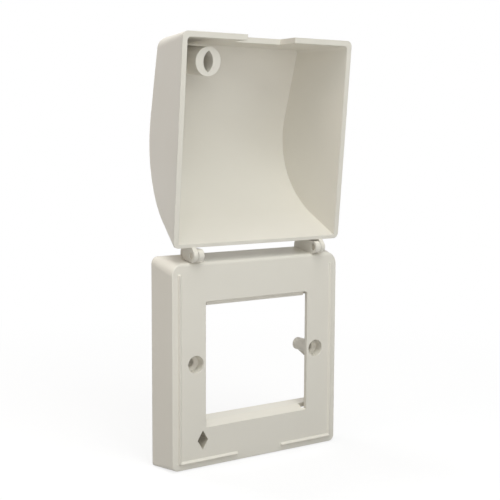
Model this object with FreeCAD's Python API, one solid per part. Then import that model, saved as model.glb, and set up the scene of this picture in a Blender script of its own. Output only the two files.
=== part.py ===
import FreeCAD, Part
import math
import os

V = FreeCAD.Vector

# Frame: origin midway between the fixing holes on the wall plane, +X right, +Z up, the front looks along -Y.
# All sizes are in millimetres and degrees.

# Wall plate
PLATE_SIZE = 86.0
PLATE_DEPTH = 13.0
FACE_SIDE_INSET = 2.0
FACE_FOOT_RISE = 0.4
FACE_CROWN_DROP = 2.0
CROWN_ROUND = 1.4
BACK_CROWN_CORNER_R = 2.8
BACK_FOOT_CORNER_R = 1.5
FACE_CROWN_CORNER_R = 5.0
FACE_FOOT_CORNER_R = 2.5
FACE_EDGE_R = 0.4
FACE_THICKNESS = 1.6
SIDE_WALL = 2.0
INNER_CORNER_R = 1.5

# Fixing holes at the standard single-gang centres
FIXING_SPACING = 60.3
FIXING_HOLE_D = 3.6
FIXING_MOUTH_D = 7.2
FIXING_SEAT_D = 6.4
FIXING_SEAT_DEPTH = 3.7
FIXING_SINK_ANGLE = 45.0
FIXING_POST_WALL = 0.7
FIXING_SPIGOT_D = 5.4
FIXING_SPIGOT_SHORT = 0.3
FIXING_RIB_THICKNESS = 1.4
FIXING_RIB_BACK_SHORT = 2.0
FIXING_RIB_SLOPE = 22.3

# Module opening and the rails behind its upper and lower edges
OPENING_SIZE = 51.0
OPENING_DROP = 0.4
OPENING_CORNER_R = 0.8
CROWN_RAIL_HANG = 1.7
FOOT_RAIL_STEP = 1.2
SILL_FALL = 0.6
RAIL_END_INSET = 3.6
RAIL_THICKNESS = 1.8
RAIL_ROOT = 2.0
RAIL_BACK_SHORT = 1.4
ROOT_BITE = 0.2
CLIP_SLOT_SET_IN = 1.2
CLIP_SLOT_LENGTH = 3.4
CLIP_SLOT_DEPTH = 3.2

# Raised bead that the hood's rim closes round
BEAD_SIDE_INSET = 4.5
BEAD_FOOT_RISE = 2.6
BEAD_CROWN_DROP = 6.2
BEAD_WIDTH = 1.5
BEAD_HEIGHT = 0.85
BEAD_OUTER_FLANK = 0.4
BEAD_INNER_FLANK = 0.75
BEAD_CORNER_R = 1.2
BEAD_INNER_CORNER_R = 0.3
BEAD_END_FLANK = 0.5
BEAD_GAP_WIDTH = 21.8
BEAD_GAP_SHIFT = 0.9

# Lock, on one axis through the plate and the closed hood
LOCK_SIDE_INSET = 16.1
LOCK_FOOT_INSET = 11.45
LOCK_SLOT_HEIGHT = 8.1
LOCK_SLOT_WIDTH = 5.0
LOCK_SOCKET_D = 11.4
LOCK_SOCKET_BACK_SHORT = 1.5
LOCK_TUBE_D = 11.4
LOCK_TUBE_SHORT = 3.6
LOCK_HOLE_HEIGHT = 8.4
LOCK_HOLE_WIDTH = 4.4

# Hinge
HINGE_FORWARD = 0.35
HINGE_ABOVE_CROWN = 1.0
BARREL_R = 2.5
PIN_R = 1.4
PIN_RUNNING_CLEARANCE = 0.05
PIN_END_SHORT = 0.25
PIN_TIP_SHORT = 1.2
PLATE_LUG_INSET = 12.6
PLATE_LUG_LENGTH = 2.5
LUG_SIDE_CLEARANCE = 0.2
HOOD_LUG_LENGTH = 2.0
RIB_BACK_SHORT = 0.1
RIB_THICKNESS = 1.7
RIB_CORNER_R = 2.6
LUG_ROOT = 1.5
TAIL_REACH = 6.65
TAIL_STOP_CLEARANCE = 0.25
TAIL_CORNER_R = 0.8
WEB_LEAVES_AT = 30.0
WEB_SET_BACK = 0.2

# Hood, measured along its rim from the hinge edge and in depth behind the rim plane
HOOD_FOOT_LEAD = 0.18
HOOD_DEPTH = 35.5
HOOD_WALL = 2.2
HOOD_LEAN = 5.28
RIM_LEAD = 0.2
RIM_EDGE_RISE = 3.28
SIDE_DRAFT = 10.4
END_DRAFT = 5.7
BACK_SLOPE = 9.8
BOW_ALONG = 42.0
BOW_R = 40.0
NAPE_FROM = 61.5
HOOD_EDGE_R = 3.0
HOOD_CORNER_R = 2.4
HOOD_CORNER_GROWTH = 0.085
HOOD_INNER_CORNER_R = 1.6
HOOD_HINGE_CORNER_R = 2.4
NOTCH_WIDTH = 22.9
NOTCH_DEPTH = 10.0

# Working allowances of the solids
SPILL = 10.0
OVER = 1.0
RUN_ON = 3.0
TINY = 1e-6

FACE_Y = -PLATE_DEPTH
FACE_BACK_Y = FACE_Y + FACE_THICKNESS
CROWN_Z = PLATE_SIZE / 2
HINGE_Y = FACE_Y - HINGE_FORWARD
HINGE_Z = CROWN_Z + HINGE_ABOVE_CROWN
OPENING_LOW = -OPENING_SIZE / 2 - OPENING_DROP
OPENING_HIGH = OPENING_SIZE / 2 - OPENING_DROP
BEAD_HALF_WIDTH = PLATE_SIZE / 2 - BEAD_SIDE_INSET
LOCK_X = LOCK_SIDE_INSET - PLATE_SIZE / 2
LOCK_Z = LOCK_FOOT_INSET - PLATE_SIZE / 2
PLATE_LUG_OUTER_X = PLATE_SIZE / 2 - PLATE_LUG_INSET
PLATE_LUG_INNER_X = PLATE_LUG_OUTER_X - PLATE_LUG_LENGTH
HOOD_LUG_INNER_X = PLATE_LUG_OUTER_X + LUG_SIDE_CLEARANCE
HOOD_LUG_OUTER_X = HOOD_LUG_INNER_X + HOOD_LUG_LENGTH
HOOD_WIDTH = PLATE_SIZE - 2 * FACE_SIDE_INSET
HOOD_LENGTH = HINGE_Z - RIM_EDGE_RISE + PLATE_SIZE / 2 - FACE_FOOT_RISE + HOOD_FOOT_LEAD
CROWN_SLOPE = FACE_CROWN_DROP / PLATE_DEPTH


def tan(degrees):
    return math.tan(math.radians(degrees))


def sin(degrees):
    return math.sin(math.radians(degrees))


def cos(degrees):
    return math.cos(math.radians(degrees))


def rounded_outline(half_x, low, high, r_low, r_high, y):
    """Closed outline in the plane of the face, with its own corner radii at the foot and at the crown."""
    spots = []
    right_side = [(1, low, -1, r_low), (1, high, 1, r_high)]
    left_side = [(-1, high, 1, r_high), (-1, low, -1, r_low)]
    for sx, z, sz, r in right_side + left_side:
        middle = V(sx * (half_x - r), y, z - sz * r)
        side = middle + V(sx * r, 0, 0)
        end = middle + V(0, 0, sz * r)
        bend = middle + V(sx * r * cos(45), 0, sz * r * sin(45))
        spots.append((end, bend, side) if sx * sz < 0 else (side, bend, end))
    edges = []
    for i, (start, bend, end) in enumerate(spots):
        edges.append(Part.Arc(start, bend, end).toShape())
        edges.append(Part.LineSegment(end, spots[(i + 1) % 4][0]).toShape())
    return Part.Wire(edges)


def flat(corners):
    return Part.Face(Part.makePolygon(corners + corners[:1]))


def frustum(near, far):
    """Solid between two flat outlines of as many corners, with flat sides."""
    facing = (near[1] - near[0]).cross(near[2] - near[1])
    if facing.dot(far[0] - near[0]) > 0:
        near, far = near[::-1], far[::-1]
    faces = [flat(near), flat(far)]
    for i in range(len(near)):
        faces.append(flat([near[i - 1], near[i], far[i], far[i - 1]]))
    return Part.Solid(Part.Shell(faces))


def tapered_block(depth_from, depth_to, inset):
    """Block inside the plate's four tapering sides, between two depths in front of the wall plane."""
    outlines = []
    for depth in (depth_from, depth_to):
        share = depth / PLATE_DEPTH
        half = PLATE_SIZE / 2 - share * FACE_SIDE_INSET - inset
        low = -PLATE_SIZE / 2 + share * FACE_FOOT_RISE + inset
        high = CROWN_Z - share * FACE_CROWN_DROP - inset
        spots = [(half, low), (half, high), (-half, high), (-half, low)]
        outlines.append([V(x, -depth, z) for x, z in spots])
    return frustum(outlines[0], outlines[1])


def inward_normals(form, edge):
    """Inward directions of the two flat faces that meet on an edge."""
    normals = []
    for face in form.Faces:
        if any(e.isSame(edge) for e in face.Edges):
            u, v = face.Surface.parameter(edge.CenterOfMass)
            normals.append(face.normalAt(u, v).negative())
    return normals


def corner_waste(form, edge, radius_at):
    """What is cut off a straight edge to round it by a cone, with a radius that grows evenly along it."""
    left, right = inward_normals(form, edge)
    to_centre = (left + right) * (1 / (1 + left.dot(right)))
    start, end = [v.Point for v in edge.Vertexes]
    step = (end - start).normalize() * RUN_ON

    def touch(point):
        """Centre of the ball in the edge at a point, and where it touches the two faces."""
        r = radius_at(point)
        centre = point + to_centre * r
        return centre, centre - left * r, centre - right * r

    balls = [touch(start - step * 2), touch(end + step * 2)]
    axis = (balls[1][0] - balls[0][0]).normalize()
    feet = [centre + axis * (spot - centre).dot(axis) for centre, spot, _ in balls]
    radii = [ball[1].distanceToPoint(foot) for ball, foot in zip(balls, feet)]
    away = (to_centre - axis * to_centre.dot(axis)).normalize()
    rims = [foot + away * r for foot, r in zip(feet, radii)]
    cone = flat([feet[0], rims[0], rims[1], feet[1]]).revolve(feet[0], axis, 360)
    ends = [[point, *touch(point)[1:]] for point in (start - step, end + step)]
    return frustum(ends[0], ends[1]).cut(cone)


def round_corners(form, edges, radius_at):
    for waste in [corner_waste(form, edge, radius_at) for edge in edges]:
        form = form.cut(waste)
    return form


def rod(radius, x_from, x_to, y, z):
    return Part.makeCylinder(radius, x_to - x_from, V(x_from, y, z), V(1, 0, 0))


def block(x, y, z):
    return Part.makeBox(x[1] - x[0], y[1] - y[0], z[1] - z[0], V(x[0], y[0], z[0]))


def side_plate(points, x_from, x_to):
    """Flat plate square to the X axis, from its corners in the YZ plane."""
    corners = [V(x_from, y, z) for y, z in points]
    return flat(corners).extrude(V(x_to - x_from, 0, 0))


def both_sides(shape):
    return [shape, shape.mirror(V(0, 0, 0), V(1, 0, 0))]


def lens(width, height, x, z, y_from, y_to):
    """Prism of a pointed oval, standing upright, along the Y axis."""
    foot = V(x, y_from, z - height / 2)
    tip = V(x, y_from, z + height / 2)
    right = Part.Arc(foot, V(x + width / 2, y_from, z), tip).toShape()
    left = Part.Arc(tip, V(x - width / 2, y_from, z), foot).toShape()
    return Part.Face(Part.Wire([right, left])).extrude(V(0, y_to - y_from, 0))


def diamond(width, height, x, z, y_from, y_to):
    """Prism of a diamond, standing upright, along the Y axis."""
    points = [(0, -height / 2), (width / 2, 0), (0, height / 2), (-width / 2, 0)]
    corners = [V(x + dx, y_from, z + dz) for dx, dz in points]
    return flat(corners).extrude(V(0, y_to - y_from, 0))


def turned_on_y(points, x, z):
    """Solid of revolution about a line along Y, from (radius, y) corners."""
    corners = [V(x + r, y, z) for r, y in points]
    return flat(corners).revolve(V(x, 0, z), V(0, 1, 0), 360)


def crown_z(y):
    """Height of the sloping crown at a place between the wall plane and the face."""
    return CROWN_Z + y * CROWN_SLOPE


def crown_corner():
    """What the rounding takes off the corner between the face and the crown."""
    tilt = math.degrees(math.atan(CROWN_SLOPE))
    y = FACE_Y + CROWN_ROUND
    z = crown_z(y) - CROWN_ROUND / cos(tilt)
    wide = PLATE_SIZE / 2 + OVER
    corner = block((-wide, wide), (FACE_Y - OVER, y - CROWN_ROUND * sin(tilt)), (z, CROWN_Z + OVER))
    return corner.cut(rod(CROWN_ROUND, -wide, wide, y, z))


def depth_edges(form):
    """Edges of the plate's block that run from the wall plane to the face."""
    return [e for e in form.Edges if e.BoundBox.YLength > PLATE_DEPTH / 2]


def corner_radius(point):
    """Radius of the plate's corners, which grows from the wall plane to the face."""
    share = point.y / FACE_Y
    if point.z > 0:
        return BACK_CROWN_CORNER_R + share * (FACE_CROWN_CORNER_R - BACK_CROWN_CORNER_R)
    return BACK_FOOT_CORNER_R + share * (FACE_FOOT_CORNER_R - BACK_FOOT_CORNER_R)


def plate_shell():
    """Tray of the plate: tapered sides, rounded crown, hollow behind the face."""
    body = tapered_block(0.0, PLATE_DEPTH, 0.0)
    body = round_corners(body, depth_edges(body), corner_radius)
    rim = [e for e in body.Edges if abs(e.BoundBox.YMax - FACE_Y) < TINY]
    body = body.makeFillet(FACE_EDGE_R, rim)
    hollow = tapered_block(-OVER, PLATE_DEPTH - FACE_THICKNESS, SIDE_WALL)
    return body.cut(crown_corner()).cut(hollow.makeFillet(INNER_CORNER_R, depth_edges(hollow)))


def fixing_post(x):
    """Screw post: a cup round the screw's seat, a spigot that reaches the wall, and a rib under both."""
    front = FACE_BACK_Y - ROOT_BITE
    tip = -FIXING_SPIGOT_SHORT
    cup_r = FIXING_SEAT_D / 2 + FIXING_POST_WALL
    spigot_r = FIXING_SPIGOT_D / 2
    cup_end = FACE_Y + FIXING_SEAT_DEPTH + FIXING_POST_WALL * tan(FIXING_SINK_ANGLE / 2)
    post = turned_on_y([
        (0, front),
        (FIXING_MOUTH_D / 2 + FIXING_POST_WALL, front),
        (cup_r, cup_end),
        (spigot_r, cup_end + (cup_r - spigot_r) / tan(FIXING_SINK_ANGLE)),
        (spigot_r, tip),
        (0, tip)], x, 0)
    rib_tip = -FIXING_RIB_BACK_SHORT
    root = -spigot_r - (rib_tip - front) * tan(FIXING_RIB_SLOPE)
    corners = [(front, 0), (front, root), (rib_tip, -spigot_r), (rib_tip, 0)]
    half = FIXING_RIB_THICKNESS / 2
    return post.fuse(side_plate(corners, x - half, x + half))


def fixing_hole(x):
    """Tapering recess with a countersunk floor for the screw head, and the clearance hole behind it."""
    seat = FACE_Y + FIXING_SEAT_DEPTH
    flare = (FIXING_MOUTH_D - FIXING_SEAT_D) / 2 / FIXING_SEAT_DEPTH
    sink = (FIXING_SEAT_D - FIXING_HOLE_D) / 2 / tan(FIXING_SINK_ANGLE)
    return turned_on_y([
        (0, FACE_Y - OVER),
        (FIXING_MOUTH_D / 2 + flare * OVER, FACE_Y - OVER),
        (FIXING_SEAT_D / 2, seat),
        (FIXING_HOLE_D / 2, seat + sink),
        (FIXING_HOLE_D / 2, OVER),
        (0, OVER)], x, 0)


def rail(edge_z, step, outward):
    """Shelf behind one edge of the opening, with a root that ties it to the back of the face."""
    shelf_z = edge_z - outward * step
    front = FACE_BACK_Y - ROOT_BITE
    half = PLATE_SIZE / 2 - RAIL_END_INSET
    x = (-half, half)
    shelf = block(x, (front, -RAIL_BACK_SHORT), sorted((shelf_z, shelf_z + outward * RAIL_THICKNESS)))
    root = block(x, (front, FACE_BACK_Y + RAIL_THICKNESS), sorted((shelf_z, edge_z + outward * RAIL_ROOT)))
    slot_from = OPENING_SIZE / 2 - CLIP_SLOT_SET_IN
    slot_x = (slot_from, slot_from + CLIP_SLOT_LENGTH)
    slot_z = sorted((shelf_z - outward * OVER, edge_z + outward * (RAIL_ROOT + OVER)))
    slot = block(slot_x, (front - OVER, FACE_BACK_Y + CLIP_SLOT_DEPTH), slot_z)
    body = shelf.fuse(root)
    for cutter in both_sides(slot):
        body = body.cut(cutter)
    return body


def sill_slope():
    """What the sloping sill takes off the opening's lower edge and the rail behind it."""
    low = OPENING_LOW - SILL_FALL
    top = OPENING_LOW + FOOT_RAIL_STEP
    rise = SILL_FALL / (FACE_THICKNESS - ROOT_BITE)
    corners = [(FACE_Y - OVER, low - rise * OVER), (FACE_Y + (top - low) / rise, top), (FACE_Y - OVER, top)]
    return side_plate(corners, -OPENING_SIZE / 2, OPENING_SIZE / 2)


def bead():
    """Thin ridge along the sides and the foot, open at the crown and at the cable gap."""
    foot = -PLATE_SIZE / 2 + BEAD_FOOT_RISE
    crown = CROWN_Z - BEAD_CROWN_DROP
    crest_y = FACE_Y - BEAD_HEIGHT
    sunk_y = FACE_Y + ROOT_BITE

    def ring(inset, y):
        r = max(BEAD_CORNER_R - inset, BEAD_INNER_CORNER_R)
        return rounded_outline(BEAD_HALF_WIDTH - inset, foot + inset, CROWN_Z, r, r, y)

    def flanks(at_face, at_crest, y_crest):
        slope = (at_crest - at_face) / BEAD_HEIGHT
        sunk = at_face - slope * ROOT_BITE
        top = at_face + slope * (FACE_Y - y_crest)
        return Part.makeLoft([ring(sunk, sunk_y), ring(top, y_crest)], True, True)

    outer = flanks(0.0, BEAD_OUTER_FLANK, crest_y)
    inner = flanks(BEAD_WIDTH, BEAD_WIDTH - BEAD_INNER_FLANK, crest_y)
    wide = BEAD_HALF_WIDTH + OVER
    gap = (BEAD_GAP_SHIFT - BEAD_GAP_WIDTH / 2, BEAD_GAP_SHIFT + BEAD_GAP_WIDTH / 2)
    levels = [(y, BEAD_END_FLANK * (FACE_Y - y) / BEAD_HEIGHT) for y in (sunk_y + OVER, crest_y - OVER)]
    (deep, deep_lean), (clear, clear_lean) = levels
    above = CROWN_Z + OVER
    crown_cut = [(deep, above), (deep, crown - deep_lean), (clear, crown - clear_lean), (clear, above)]
    gap_cut = [(gap[0] - deep_lean, deep), (gap[1] + deep_lean, deep),
               (gap[1] + clear_lean, clear), (gap[0] - clear_lean, clear)]
    gap_face = flat([V(x, y, foot - OVER) for x, y in gap_cut])
    ridge = outer.cut(inner).cut(side_plate(crown_cut, -wide, wide))
    return ridge.cut(gap_face.extrude(V(0, 0, BEAD_WIDTH + 2 * OVER)))


def plate_lug():
    """Right-hand hinge lug of the plate: a barrel at the face with a rib running back over the crown."""
    barrel = rod(BARREL_R, PLATE_LUG_INNER_X, PLATE_LUG_OUTER_X, HINGE_Y, HINGE_Z)
    top = HINGE_Z + BARREL_R
    back = -RIB_BACK_SHORT
    front = FACE_Y + CROWN_ROUND
    foot = [(back, crown_z(back) - LUG_ROOT), (front, crown_z(front) - LUG_ROOT)]
    corners = [(HINGE_Y, CROWN_Z), (HINGE_Y, top), (back, top)] + foot
    rib = side_plate(corners, PLATE_LUG_INNER_X, PLATE_LUG_INNER_X + RIB_THICKNESS)
    tail = V(PLATE_LUG_INNER_X + RIB_THICKNESS / 2, back, top)
    tail_edge = [e for e in rib.Edges if e.CenterOfMass.distanceToPoint(tail) < TINY]
    return barrel.fuse(rib.makeFillet(RIB_CORNER_R, tail_edge))


def make_plate():
    body = plate_shell()
    half = OPENING_SIZE / 2
    opening = block((-half, half), (FACE_Y - OVER, FACE_BACK_Y + OVER), (OPENING_LOW, OPENING_HIGH))
    upright = [e for e in opening.Edges if e.BoundBox.YLength > FACE_THICKNESS]
    body = body.cut(opening.makeFillet(OPENING_CORNER_R, upright))
    socket_from = V(LOCK_X, FACE_BACK_Y - ROOT_BITE, LOCK_Z)
    socket_length = -LOCK_SOCKET_BACK_SHORT - socket_from.y
    socket = Part.makeCylinder(LOCK_SOCKET_D / 2, socket_length, socket_from, V(0, 1, 0))
    added = [socket, bead(), rail(OPENING_HIGH, CROWN_RAIL_HANG, 1), rail(OPENING_LOW, FOOT_RAIL_STEP, -1)]
    added += both_sides(fixing_post(FIXING_SPACING / 2)) + both_sides(plate_lug())
    body = body.fuse(added).removeSplitter()
    cutters = both_sides(fixing_hole(FIXING_SPACING / 2)) + [sill_slope()]
    cutters.append(diamond(LOCK_SLOT_WIDTH, LOCK_SLOT_HEIGHT, LOCK_X, LOCK_Z, FACE_Y - OVER, OVER))
    bore_r = PIN_R + PIN_RUNNING_CLEARANCE
    bore = rod(bore_r, PLATE_LUG_INNER_X - OVER, PLATE_LUG_OUTER_X + OVER, HINGE_Y, HINGE_Z)
    for cutter in cutters + both_sides(bore):
        body = body.cut(cutter)
    return body


def hood_side(inset):
    """Side view of the hood's skin in depth and along the rim: flat nape, bow, flat back and free end."""
    bow_r = BOW_R - inset
    bow = V(0, HOOD_DEPTH - BOW_R, BOW_ALONG)

    def out(turn):
        return V(0, cos(turn), sin(turn))

    end_z = HOOD_LENGTH - inset / cos(END_DRAFT)
    join = bow + out(-NAPE_FROM) * bow_r
    start = join - V(0, 1, 1 / tan(NAPE_FROM)) * (join.y + SPILL)
    bow_mid = bow + out((BACK_SLOPE - NAPE_FROM) / 2) * bow_r
    leave = bow + out(BACK_SLOPE) * bow_r
    run = (end_z - leave.y * tan(END_DRAFT) - leave.z) / (cos(BACK_SLOPE) - sin(BACK_SLOPE) * tan(END_DRAFT))
    back_end = leave + V(0, -sin(BACK_SLOPE), cos(BACK_SLOPE)) * run
    rim_end = V(0, -SPILL, end_z + SPILL * tan(END_DRAFT))
    return Part.Face(Part.Wire([
        Part.LineSegment(start, join).toShape(),
        Part.Arc(join, bow_mid, leave).toShape(),
        Part.LineSegment(leave, back_end).toShape(),
        Part.LineSegment(back_end, rim_end).toShape(),
        Part.LineSegment(rim_end, start).toShape()]))


def hood_form(inset, corner_radius_at):
    """Solid inside the hood's skin, running on past the rim: drafted sides, bowed back, rounded free end."""
    far = HOOD_DEPTH + SPILL

    def half_at(depth):
        return HOOD_WIDTH / 2 - inset / cos(SIDE_DRAFT) - depth * tan(SIDE_DRAFT)

    corners = [V(half_at(-SPILL), -SPILL, -SPILL), V(half_at(far), far, -SPILL),
               V(-half_at(far), far, -SPILL), V(-half_at(-SPILL), -SPILL, -SPILL)]
    wedge = flat(corners).extrude(V(0, 0, HOOD_LENGTH + 2 * SPILL))
    side = hood_side(inset)
    side.translate(V(-HOOD_WIDTH, 0, 0))
    form = side.extrude(V(2 * HOOD_WIDTH, 0, 0)).common(wedge)
    low = HOOD_LENGTH - HOOD_DEPTH * tan(END_DRAFT) - inset - OVER
    uprights = [e for e in form.Edges if e.BoundBox.ZMin > low and e.BoundBox.YLength > HOOD_DEPTH / 2]
    return round_corners(form, uprights, corner_radius_at)


def hinge_corner():
    """What the rounding takes off the rim's right-hand corner beside the hinge."""
    r = HOOD_HINGE_CORNER_R
    x = HOOD_WIDTH / 2 - r
    corner = block((x, x + r + OVER), (-OVER, HOOD_DEPTH), (-OVER, r))
    return corner.cut(Part.makeCylinder(r, HOOD_DEPTH + 2 * OVER, V(x, -OVER, r), V(0, 1, 0)))


def hood_skin():
    """Outside of the hood, cut off at the rim."""
    form = hood_form(0.0, lambda point: HOOD_CORNER_R + HOOD_CORNER_GROWTH * point.y)
    back = [e for e in form.Edges if e.BoundBox.YMin > HOOD_DEPTH / 2 and e.BoundBox.XLength > HOOD_WIDTH / 2
            and e.BoundBox.ZMin > (BOW_ALONG + HOOD_LENGTH) / 2]
    form = form.makeFillet(HOOD_EDGE_R, back)
    form = form.common(block((-HOOD_WIDTH, HOOD_WIDTH), (0, HOOD_DEPTH + OVER), (0, HOOD_LENGTH + OVER)))
    return form.cut(both_sides(hinge_corner()))


def hood_room():
    """Room inside the hood, open past the rim."""
    form = hood_form(HOOD_WALL, lambda point: HOOD_INNER_CORNER_R)
    return form.common(block((-HOOD_WIDTH, HOOD_WIDTH), (-OVER, HOOD_DEPTH), (0, HOOD_LENGTH)))


def hood_place(shape):
    """Moves a shape from rim measures (depth, along) to the open hood on its hinge."""
    shape.translate(V(0, -RIM_LEAD, RIM_EDGE_RISE))
    shape.rotate(V(0, 0, 0), V(1, 0, 0), HOOD_LEAN)
    shape.translate(V(0, HINGE_Y, HINGE_Z))
    return shape


def nape_along(depth):
    """How far along the rim the hood's outside starts at a depth: on the rim's edge, or on the nape."""
    join_depth = HOOD_DEPTH - BOW_R + BOW_R * cos(NAPE_FROM)
    join_along = BOW_ALONG - BOW_R * sin(NAPE_FROM)
    return max(0.0, join_along - (join_depth - depth) / tan(NAPE_FROM))


def hood_lug():
    """Right-hand hinge lug of the hood: barrel, web up to the nape, and a tail that stops on the crown."""
    x = (HOOD_LUG_INNER_X, HOOD_LUG_OUTER_X)
    barrel = rod(BARREL_R, x[0], x[1], HINGE_Y, HINGE_Z)
    rim_y = -RIM_LEAD * cos(HOOD_LEAN) - RIM_EDGE_RISE * sin(HOOD_LEAN)
    rim_z = RIM_EDGE_RISE * cos(HOOD_LEAN) - RIM_LEAD * sin(HOOD_LEAN)
    wall_z = RIM_EDGE_RISE + HOOD_WALL
    heel_z = crown_z(HINGE_Y + TAIL_REACH) + TAIL_STOP_CLEARANCE - HINGE_Z
    sole_z = crown_z(HINGE_Y) + TAIL_STOP_CLEARANCE - HINGE_Z
    front = [(-BARREL_R * cos(WEB_LEAVES_AT), BARREL_R * sin(WEB_LEAVES_AT)), (rim_y, rim_z)]
    root = [(rim_y + WEB_SET_BACK, wall_z + nape_along(0.0)), (TAIL_REACH, wall_z + nape_along(TAIL_REACH))]
    tail = [(TAIL_REACH, heel_z), (0, sole_z)]
    web = side_plate([(HINGE_Y + y, HINGE_Z + z) for y, z in front + root + tail], x[0], x[1])
    heel = V(sum(x) / 2, HINGE_Y + TAIL_REACH, HINGE_Z + heel_z)
    heel_edge = [e for e in web.Edges if e.CenterOfMass.distanceToPoint(heel) < TINY]
    return barrel.fuse(web.makeFillet(TAIL_CORNER_R, heel_edge))


def make_hood():
    skin = hood_skin()
    room = hood_room()
    lock_along = HINGE_Z - RIM_EDGE_RISE - LOCK_Z
    tube_from = V(LOCK_X, LOCK_TUBE_SHORT, lock_along)
    tube = Part.makeCylinder(LOCK_TUBE_D / 2, HOOD_DEPTH, tube_from, V(0, 1, 0)).common(skin)
    key_way = lens(LOCK_HOLE_WIDTH, LOCK_HOLE_HEIGHT, LOCK_X, lock_along, 0, HOOD_DEPTH + OVER)
    half = NOTCH_WIDTH / 2
    notch = block((-half, half), (-OVER, NOTCH_DEPTH), (HOOD_LENGTH - NOTCH_DEPTH, HOOD_LENGTH + OVER))
    for shape in (skin, room, tube, key_way, notch):
        hood_place(shape)
    body = skin.fuse(both_sides(hood_lug())).cut(room).fuse(tube).removeSplitter()
    pin_hole = rod(PIN_R, HOOD_LUG_INNER_X - OVER, HOOD_LUG_OUTER_X + OVER, HINGE_Y, HINGE_Z)
    for cutter in [key_way, notch] + both_sides(pin_hole):
        body = body.cut(cutter)
    return body


def make_pin():
    """Right-hand hinge pin, held in the hood's lug and running in the plate's lug."""
    inner = PLATE_LUG_INNER_X + PIN_TIP_SHORT
    outer = HOOD_LUG_OUTER_X - PIN_END_SHORT
    return rod(PIN_R, inner, outer, HINGE_Y, HINGE_Z)


def main():
    right_pin, left_pin = both_sides(make_pin())
    nodes = {
        "base_frame": make_plate(),
        "hood_lid": make_hood(),
        "hinge_pin_left": left_pin,
        "hinge_pin_right": right_pin}
    os.makedirs("parts", exist_ok=True)
    for name, shape in nodes.items():
        print(name, len(shape.Solids), "solid", round(shape.Volume), "mm3", shape.isValid())
        shape.Solids[0].exportStep("parts/" + name + ".step")


main()
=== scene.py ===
"""Looks of a hooded wall faceplate: ivory moulded plastic on a white studio floor, with the hood open."""

import logging
import math
from dataclasses import dataclass
from enum import Enum
from typing import Any, Mapping, Optional, Sequence, Union

import bpy
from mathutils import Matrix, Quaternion, Vector


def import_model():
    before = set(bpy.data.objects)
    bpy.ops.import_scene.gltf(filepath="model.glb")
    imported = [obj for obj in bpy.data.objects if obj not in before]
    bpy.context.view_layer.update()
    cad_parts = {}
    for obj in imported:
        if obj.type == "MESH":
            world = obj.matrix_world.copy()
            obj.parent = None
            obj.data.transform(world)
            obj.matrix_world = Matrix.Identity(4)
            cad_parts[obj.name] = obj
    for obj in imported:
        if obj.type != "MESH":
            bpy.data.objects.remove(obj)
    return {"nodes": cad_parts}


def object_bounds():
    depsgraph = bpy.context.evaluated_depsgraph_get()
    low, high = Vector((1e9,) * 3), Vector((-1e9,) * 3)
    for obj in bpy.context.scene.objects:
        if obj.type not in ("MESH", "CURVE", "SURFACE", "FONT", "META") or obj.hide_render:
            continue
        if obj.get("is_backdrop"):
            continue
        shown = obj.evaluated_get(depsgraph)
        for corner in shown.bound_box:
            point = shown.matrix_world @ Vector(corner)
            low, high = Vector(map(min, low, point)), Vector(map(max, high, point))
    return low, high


LOG = logging.getLogger("faceplate")

Colour = tuple[float, float, float]
Point = tuple[float, float, float]
Span = tuple[float, float]
Operand = Union["Signal", float]
Tint = Union["Signal", Colour]

WHITE: Colour = (1.0, 1.0, 1.0)
# Strength at which a white glow shows as plain white.
PLAIN_STRENGTH = 1.0
# Middle of the values that a Noise Texture gives.
NOISE_MIDDLE = 0.5
# Multiplies a place so that its depth along Y drops out.
DROP_DEPTH: Point = (1.0, 0.0, 1.0)
# The axis of its own that a camera rolls about.
ROLL_AXIS: Point = (0.0, 0.0, 1.0)


class Ray(Enum):
    """Kinds of ray that see the floor and the surroundings as white."""

    CAMERA = "Is Camera Ray"
    GLOSSY = "Is Glossy Ray"
    TRANSMISSION = "Is Transmission Ray"


class Easing(Enum):
    """Ways in which a ramp goes from one number to another."""

    EVEN = "LINEAR"
    SOFT = "SMOOTHSTEP"


class Grain(Enum):
    """Surface that the mould leaves, as the share of the full grain depth."""

    SATIN = 1.0
    SMOOTH = 0.4


def opaque(colour: Colour) -> tuple[float, float, float, float]:
    """Colour with full alpha, as colour sockets take it."""
    return (*colour, 1.0)


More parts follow.
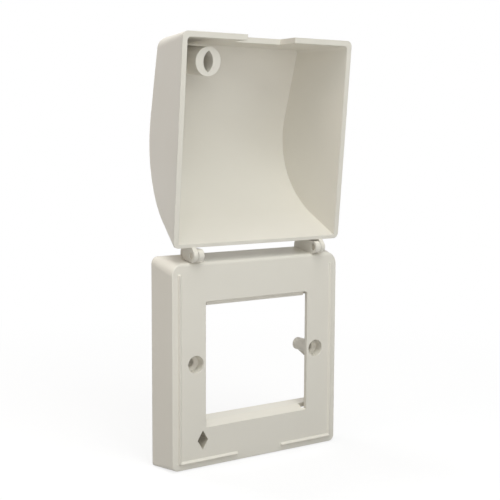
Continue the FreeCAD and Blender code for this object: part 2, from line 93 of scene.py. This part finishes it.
class Signal:
    """A shader socket that takes part in arithmetic."""

    def __init__(self, graph: "ShaderGraph", socket: bpy.types.NodeSocket) -> None:
        """Keeps the socket and the graph that new nodes join.

        Args:
            graph: The graph that owns the socket.
            socket: A socket that carries a number, colour, vector or shader.
        """
        self.graph = graph
        self.socket = socket

    def _math(self, operation: str, first: Operand, second: Operand) -> "Signal":
        """Adds one Math node.

        Args:
            operation: The Math node's operation.
            first: Left operand.
            second: Right operand.

        Returns:
            The node's value.
        """
        return self.graph.add("ShaderNodeMath", {"operation": operation}, {0: first, 1: second})

    def __add__(self, other: Operand) -> "Signal":
        """Sum with a number or another signal."""
        return self._math("ADD", self, other)

    def __radd__(self, other: Operand) -> "Signal":
        """Sum with a number on the left."""
        return self._math("ADD", other, self)

    def __sub__(self, other: Operand) -> "Signal":
        """Difference from a number or another signal."""
        return self._math("SUBTRACT", self, other)

    def __rsub__(self, other: Operand) -> "Signal":
        """Difference from a number on the left."""
        return self._math("SUBTRACT", other, self)

    def __mul__(self, other: Operand) -> "Signal":
        """Product with a number or another signal."""
        return self._math("MULTIPLY", self, other)

    def __rmul__(self, other: Operand) -> "Signal":
        """Product with a number on the left."""
        return self._math("MULTIPLY", other, self)

    def __lt__(self, other: Operand) -> "Signal":
        """Mask that is 1 where this signal is the smaller one."""
        return self._math("LESS_THAN", self, other)

    def __gt__(self, other: Operand) -> "Signal":
        """Mask that is 1 where this signal is the larger one, also when a number stands to the left of <."""
        return self._math("GREATER_THAN", self, other)

    def __or__(self, other: Operand) -> "Signal":
        """Larger of two masks."""
        return self._math("MAXIMUM", self, other)

    def __ror__(self, other: Operand) -> "Signal":
        """Larger of two masks, with a number on the left."""
        return self._math("MAXIMUM", other, self)


class ShaderGraph:
    """The node tree of one material or of the world."""

    def __init__(self, tree: bpy.types.NodeTree) -> None:
        """Starts an empty tree.

        Args:
            tree: The tree to fill. What it holds is removed.
        """
        tree.nodes.clear()
        self.tree = tree

    def add(
        self,
        kind: str,
        settings: Optional[Mapping[str, Any]] = None,
        sockets: Optional[Mapping[Union[int, str], Any]] = None,
        output: Union[int, str] = 0,
    ) -> Signal:
        """Adds a node.

        Args:
            kind: Blender's node type.
            settings: Node properties, set before the sockets.
            sockets: Values or signals by the name or number of the input.
            output: Name or number of the output that is wanted.

        Returns:
            The wanted output, or the first input of a node that has no outputs.
        """
        node = self.tree.nodes.new(kind)
        for name, value in (settings or {}).items():
            setattr(node, name, value)
        for key, value in (sockets or {}).items():
            if isinstance(value, Signal):
                self.tree.links.new(value.socket, node.inputs[key])
            else:
                node.inputs[key].default_value = value
        return Signal(self, node.outputs[output] if node.outputs else node.inputs[0])

    def position(self) -> Signal:
        """Place of the shaded point in the object's own space, in metres."""
        return self.add("ShaderNodeTexCoord", output="Object")

    def length(self, vector: Signal) -> Signal:
        """Length of a vector."""
        return self.add("ShaderNodeVectorMath", {"operation": "LENGTH"}, {0: vector}, output="Value")

    def ramp(self, value: Signal, span: Span, results: Span, easing: Easing = Easing.SOFT) -> Signal:
        """Number that goes from one result to another while a value crosses a span.

        Args:
            value: What the ramp follows.
            span: Values at which the ramp starts and ends.
            results: Numbers that it gives up to the start and from the end on.
            easing: How it goes between the two.

        Returns:
            The ramp's number.
        """
        return self.add(
            "ShaderNodeMapRange",
            {"interpolation_type": easing.value},
            {
                "Value": value,
                "From Min": span[0],
                "From Max": span[1],
                "To Min": results[0],
                "To Max": results[1],
            },
        )

    def mix(self, factor: Operand, first: Tint, second: Tint) -> Signal:
        """Colour between two colours.

        Args:
            factor: 0 gives the first colour and 1 the second.
            first: Linear colour, or a signal that carries one.
            second: Linear colour, or a signal that carries one.

        Returns:
            The mixed colour.
        """
        ends = [tint if isinstance(tint, Signal) else opaque(tint) for tint in (first, second)]
        # The Mix node's colour inputs are its seventh and eighth, and its colour output is its third.
        return self.add(
            "ShaderNodeMix",
            {"data_type": "RGBA", "clamp_factor": True},
            {0: factor, 6: ends[0], 7: ends[1]},
            output=2,
        )

    def noise(self, size: float, detail: float, seed: Point) -> Signal:
        """Noise in the object's own space.

        Args:
            size: Width of one blotch, in metres.
            detail: Octaves of finer noise.
            seed: Shift of the pattern, in metres.

        Returns:
            A value from 0 to 1, mostly near the middle.
        """
        moved = self.add("ShaderNodeVectorMath", {"operation": "ADD"}, {0: self.position(), 1: seed})
        return self.add(
            "ShaderNodeTexNoise",
            {"noise_dimensions": "3D"},
            {"Vector": moved, "Scale": 1.0 / size, "Detail": detail},
            output="Fac",
        )

    def seen_by(self, rays: Sequence[Ray]) -> Signal:
        """Mask of the rays that see the floor and the surroundings as white.

        Args:
            rays: The kinds of ray.

        Returns:
            1 for a ray of one of these kinds, 0 for any other.
        """
        masks = [self.add("ShaderNodeLightPath", output=ray.value) for ray in rays]
        joined = masks[0]
        for mask in masks[1:]:
            joined = joined | mask
        return joined


@dataclass(frozen=True)
class PaintedKeywayShade:
    """The inside of a lock slot along Y, from the middle of its mouth inwards, whose walls get painted
    shade. Lengths are in metres.
    """

    mouth: Point
    radius: float
    length: float
    lead_in: float = 0.0008

    def mask(self, graph: ShaderGraph) -> Signal:
        """Finds the slot's inner walls, where the shade is painted.

        Args:
            graph: The graph of the material that holds the slot.

        Returns:
            0 outside the slot and at its mouth, 1 on its walls behind the lead-in.
        """
        inward = graph.add(
            "ShaderNodeVectorMath", {"operation": "SUBTRACT"}, {0: graph.position(), 1: self.mouth}
        )
        depth = graph.add("ShaderNodeSeparateXYZ", None, {0: inward}, output="Y")
        sideways = graph.add("ShaderNodeVectorMath", {"operation": "MULTIPLY"}, {0: inward, 1: DROP_DEPTH})
        sunk = graph.ramp(depth, span=(0.0, self.lead_in), results=(0.0, 1.0), easing=Easing.EVEN)
        return sunk * (graph.length(sideways) < self.radius) * (depth < self.length)


@dataclass(frozen=True)
class MouldedPlastic:
    """Ivory plastic from a lightly etched mould: a warm tone, faintly cloudy, with a fine satin grain.

    Colours are linear and lengths are in metres. A keyway's walls get painted shade, a darker tone for the
    shade inside the slot.
    """

    name: str
    tone: Colour = (0.745, 0.714, 0.640)
    cloud: Colour = (0.718, 0.685, 0.609)
    cloud_size: float = 0.035
    cloud_detail: float = 3.0
    cloud_spread: float = 1.6
    roughness: float = 0.44
    roughness_spread: float = 0.12
    grain: Grain = Grain.SATIN
    grain_size: float = 0.0005
    grain_detail: float = 2.0
    grain_depth: float = 0.000012
    edge_softness: float = 0.00028
    edge_samples: int = 6
    sheen_ior: float = 1.46
    seed: Point = (0.0, 0.0, 0.0)
    keyway_painted_shade: Optional[PaintedKeywayShade] = None
    # Painted shade on the keyway's walls, for the shade that falls inside the slot.
    keyway_painted_shade_tone: Colour = (0.56, 0.525, 0.44)

    def material(self) -> bpy.types.Material:
        """Builds the material.

        Returns:
            A new material with this finish.
        """
        made = bpy.data.materials.new(self.name)
        made.use_nodes = True
        graph = ShaderGraph(made.node_tree)
        mottle = graph.noise(self.cloud_size, self.cloud_detail, self.seed)
        cloudiness = (mottle - NOISE_MIDDLE) * self.cloud_spread + NOISE_MIDDLE
        speckle = graph.noise(self.grain_size, self.grain_detail, self.seed)
        soft_edge = graph.add(
            "ShaderNodeBevel", {"samples": self.edge_samples}, {"Radius": self.edge_softness}
        )
        colour = graph.mix(cloudiness, self.tone, self.cloud)
        # Painted shade: the lock slot's inner walls are darkened, for the shade that falls inside it.
        if self.keyway_painted_shade is not None:
            colour = graph.mix(self.keyway_painted_shade.mask(graph), colour, self.keyway_painted_shade_tone)
        relief = graph.add(
            "ShaderNodeBump",
            None,
            {
                "Strength": 1.0,
                "Distance": self.grain_depth * self.grain.value,
                "Height": speckle,
                "Normal": soft_edge,
            },
        )
        surface = graph.add(
            "ShaderNodeBsdfPrincipled",
            None,
            {
                "Base Color": colour,
                "Roughness": self.roughness + (cloudiness - NOISE_MIDDLE) * self.roughness_spread,
                "IOR": self.sheen_ior,
                "Normal": relief,
            },
        )
        graph.add("ShaderNodeOutputMaterial", None, {"Surface": surface})
        return made


@dataclass(frozen=True)
class Moulding:
    """A moulded piece of the faceplate, shown by its own solid.

    Bends of less than smooth_below, in degrees, are shaded smooth.
    """

    node: str
    slot: str
    finish: MouldedPlastic
    smooth_below: float = 32.0

    def dress(self, solid: bpy.types.Object) -> None:
        """Gives the solid its finish and smooth shading across its soft bends.

        Args:
            solid: The piece's object in the frame.
        """
        solid.data.materials.clear()
        solid.data.materials.append(self.finish.material())
        solid.data.shade_smooth()
        solid.data.set_sharp_from_angle(angle=math.radians(self.smooth_below))
        LOG.info("%s dressed in %s", self.node, self.finish.name)


@dataclass
class WallPlate:
    """The fixed frame on the wall."""

    frame: Moulding = Moulding(
        "base_frame",
        "plate_plastic",
        # The lock slot's walls get painted shade.
        MouldedPlastic(
            "plate_ivory", keyway_painted_shade=PaintedKeywayShade(mouth=(-0.0269, -0.013, -0.03155), radius=0.0045, length=0.0113)
        ),
    )

    def dress(self, nodes: Mapping[str, bpy.types.Object]) -> None:
        """Dresses the frame.

        Args:
            nodes: The frame's objects by node name.
        """
        self.frame.dress(nodes[self.frame.node])


@dataclass
class Hood:
    """The hinged hood with the two pins that it turns on."""

    lid: Moulding = Moulding(
        "hood_lid", "hood_plastic", MouldedPlastic("hood_ivory", seed=(0.31, 0.17, 0.23))
    )
    pin_finish: MouldedPlastic = MouldedPlastic(
        "pin_ivory",
        tone=(0.69, 0.645, 0.555),
        cloud=(0.655, 0.61, 0.52),
        roughness=0.36,
        grain=Grain.SMOOTH,
    )
    pin_nodes: tuple[str, str] = ("hinge_pin_left", "hinge_pin_right")
    pin_slot: str = "pin_plastic"

    def dress(self, nodes: Mapping[str, bpy.types.Object]) -> None:
        """Dresses the lid and its pins.

        Args:
            nodes: The frame's objects by node name.
        """
        self.lid.dress(nodes[self.lid.node])
        for node in self.pin_nodes:
            Moulding(node, self.pin_slot, self.pin_finish).dress(nodes[node])


@dataclass(frozen=True)
class Softbox:
    """A square lamp with a diffuser. Lengths are in metres."""

    name: str
    place: Point
    side: float
    watts: float
    colour: Colour = WHITE

    def build(self, aim: Vector) -> bpy.types.Object:
        """Hangs the lamp and turns it to the object.

        Args:
            aim: The point that the lamp faces.

        Returns:
            The lamp's object.
        """
        lamp = bpy.data.lights.new(self.name, "AREA")
        lamp.shape = "SQUARE"
        lamp.size = self.side
        lamp.energy = self.watts
        lamp.color = self.colour
        made = bpy.data.objects.new(self.name, lamp)
        made.location = self.place
        made.rotation_mode = "QUATERNION"
        made.rotation_quaternion = (aim - Vector(self.place)).to_track_quat("-Z", "Y")
        bpy.context.scene.collection.objects.link(made)
        return made


@dataclass
class Studio:
    """White floor and surroundings under soft lamps.

    Lengths are in metres. The bounce and the shadow change with the distance from the middle of the floor;
    near the middle the bounce is cut by painted shade in the floor's colour.
    """

    floor_side: float = 12.0
    floor_tone: Colour = (0.74, 0.74, 0.74)
    # Painted shade: the floor's colour close to the object, darker for the shade that falls round it.
    floor_painted_shade_near: Colour = (0.50, 0.50, 0.50)
    floor_roughness: float = 1.0
    floor_gloss: float = 0.0
    bounce_span: Span = (0.06, 0.30)
    shadow_share: float = 0.22
    shadow_span: Span = (0.10, 0.34)
    ambient: float = 0.10
    white_rays: tuple[Ray, ...] = (Ray.CAMERA, Ray.GLOSSY, Ray.TRANSMISSION)
    lamps: tuple[Softbox, ...] = (
        Softbox("overhead_softbox", place=(-0.12, -0.29, 0.94), side=0.62, watts=4.65),
        Softbox("rear_softbox", place=(-0.10, 0.28, 0.96), side=0.2, watts=2.6),
        Softbox("left_softbox", place=(-0.70, 0.0, 0.75), side=0.5, watts=1.85, colour=(1.0, 0.90, 0.81)),
        Softbox("right_softbox", place=(0.85, 0.14, 0.09), side=0.25, watts=1.8),
        Softbox("back_softbox", place=(0.15, 0.90, 0.09), side=0.25, watts=0.8),
        Softbox("front_softbox", place=(-0.32, -0.90, 0.21), side=0.5, watts=2.25),
        Softbox("near_softbox", place=(0.0, -0.35, 0.42), side=0.25, watts=0.70, colour=(0.94, 1.0, 0.98)),
    )

    def build(self, low: Vector, high: Vector) -> None:
        """Sets the floor, the surroundings and the lamps round the object.

        Args:
            low: Lowest corner of the object.
            high: Highest corner of the object.
        """
        self._floor(low.z)
        self._surroundings()
        aim = (low + high) / 2
        for lamp in self.lamps:
            lamp.build(aim)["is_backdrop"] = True
        LOG.info("studio set with %d lamps", len(self.lamps))

    def _floor(self, height: float) -> None:
        """Lays the floor.

        Args:
            height: Height of the floor, where the object stands.
        """
        half = self.floor_side / 2
        mesh = bpy.data.meshes.new("studio_floor")
        corners = [(-half, -half, 0.0), (half, -half, 0.0), (half, half, 0.0), (-half, half, 0.0)]
        mesh.from_pydata(corners, [], [(0, 1, 2, 3)])
        floor = bpy.data.objects.new("studio_floor", mesh)
        floor.location = (0.0, 0.0, height)
        bpy.context.scene.collection.objects.link(floor)
        mesh.materials.append(self._floor_material())
        floor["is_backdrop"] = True

    def _floor_material(self) -> bpy.types.Material:
        """Builds the floor's finish: white to the eye apart from a soft shadow, and grey to the lamps, with
        painted shade close to the object.

        Returns:
            A new material.
        """
        made = bpy.data.materials.new("studio_white")
        made.use_nodes = True
        graph = ShaderGraph(made.node_tree)
        seen = graph.seen_by(self.white_rays)
        away = graph.length(graph.position())
        # Painted shade: the floor's colour is darker close to the object than further out, so it returns
        # less light there.
        outward = graph.ramp(away, span=self.bounce_span, results=(0.0, 1.0))
        shaded_bounce = graph.mix(outward, self.floor_painted_shade_near, self.floor_tone)
        matt = graph.add(
            "ShaderNodeBsdfPrincipled",
            None,
            {
                "Base Color": graph.mix(seen, shaded_bounce, WHITE),
                "Roughness": self.floor_roughness,
                "Specular IOR Level": self.floor_gloss,
            },
        )
        glow = graph.add("ShaderNodeEmission", None, {"Color": opaque(WHITE), "Strength": PLAIN_STRENGTH})
        # Round the object a share of the glow gives way to the matt floor, which shows the shadow.
        shadow = graph.ramp(away, span=self.shadow_span, results=(self.shadow_share, 0.0))
        surface = graph.add("ShaderNodeMixShader", None, {0: seen * (1.0 - shadow), 1: matt, 2: glow})
        graph.add("ShaderNodeOutputMaterial", None, {"Surface": surface})
        return made

    def _surroundings(self) -> None:
        """Fills the room with even light, and shows it as plain white."""
        world = bpy.data.worlds.new("studio_room")
        world.use_nodes = True
        bpy.context.scene.world = world
        graph = ShaderGraph(world.node_tree)
        seen = graph.seen_by(self.white_rays)
        strength = self.ambient + seen * (PLAIN_STRENGTH - self.ambient)
        light = graph.add("ShaderNodeBackground", None, {"Color": opaque(WHITE), "Strength": strength})
        graph.add("ShaderNodeOutputWorld", None, {"Surface": light})


@dataclass(frozen=True)
class PhotoCamera:
    """Camera at the photograph's place.

    Places are in metres, the roll is in degrees, and lens and sensor are in millimetres.
    """

    eye: Point = (-0.24871, -0.36903, 0.09336)
    aim: Point = (-0.00425, -0.013, 0.044611)
    roll: float = 0.278
    lens: float = 76.52
    sensor: float = 36.0
    nearest: float = 0.01

    def build(self) -> bpy.types.Object:
        """Sets the camera up.

        Returns:
            The scene's camera.
        """
        data = bpy.data.cameras.new("photo_camera")
        data.lens = self.lens
        data.sensor_width = self.sensor
        data.clip_start = self.nearest
        made = bpy.data.objects.new("photo_camera", data)
        made.location = self.eye
        made.rotation_mode = "QUATERNION"
        level = (Vector(self.aim) - Vector(self.eye)).to_track_quat("-Z", "Y")
        made.rotation_quaternion = level @ Quaternion(ROLL_AXIS, math.radians(self.roll))
        bpy.context.scene.collection.objects.link(made)
        bpy.context.scene.camera = made
        return made


def main() -> None:
    """Builds the dressed faceplate in its studio."""
    logging.basicConfig(level=logging.INFO, format="%(name)s: %(message)s")
    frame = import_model()
    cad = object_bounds()
    for assembly in (WallPlate(), Hood()):
        assembly.dress(frame["nodes"])
    Studio().build(*cad)
    PhotoCamera().build()
    bpy.context.scene.view_settings.view_transform = "Standard"


if __name__ == "__main__":
    main()
